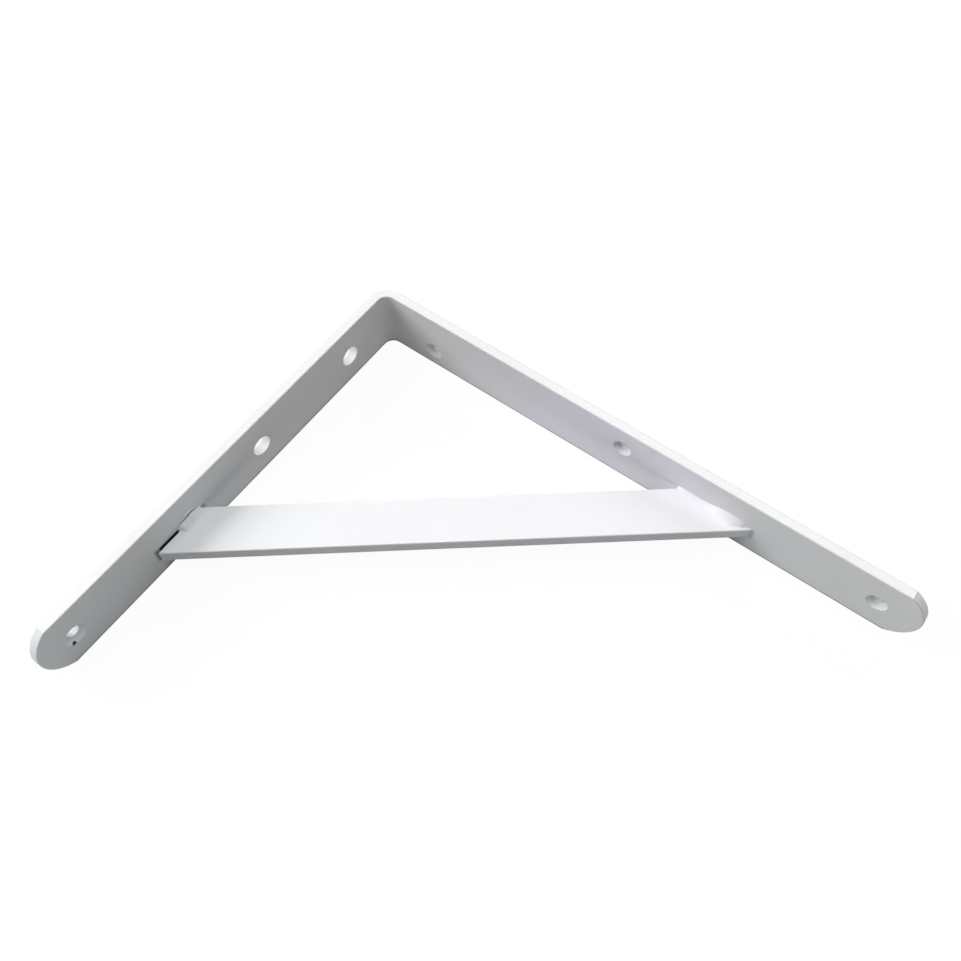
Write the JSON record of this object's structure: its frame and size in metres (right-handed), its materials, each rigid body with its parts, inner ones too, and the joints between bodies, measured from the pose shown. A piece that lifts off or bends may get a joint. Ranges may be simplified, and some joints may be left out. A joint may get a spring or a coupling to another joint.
{
  "type": "angle bracket",
  "caption": "L-shaped shelf bracket of bent flat bar with plain and countersunk screw holes in its arms and a flat diagonal brace welded between them.",
  "frame": {"origin": "the point where the outer faces of the two arms would meet, on the side that the bracket lies on", "axes": "+X along the short arm, +Y along the long arm, +Z across the width of the bar; the bracket lies on its side as in the picture, and in use it is fixed by either arm's outer face"},
  "size_m": [0.2, 0.25, 0.03],
  "materials": {
    "white_paint": "semi-gloss white powder coat on mild steel"
  },
  "bodies": {
    "root": {"bent_bar": "white_paint", "brace_bar": "white_paint", "weld_long_arm": "white_paint", "weld_short_arm": "white_paint"}
  },
  "joints": []
}
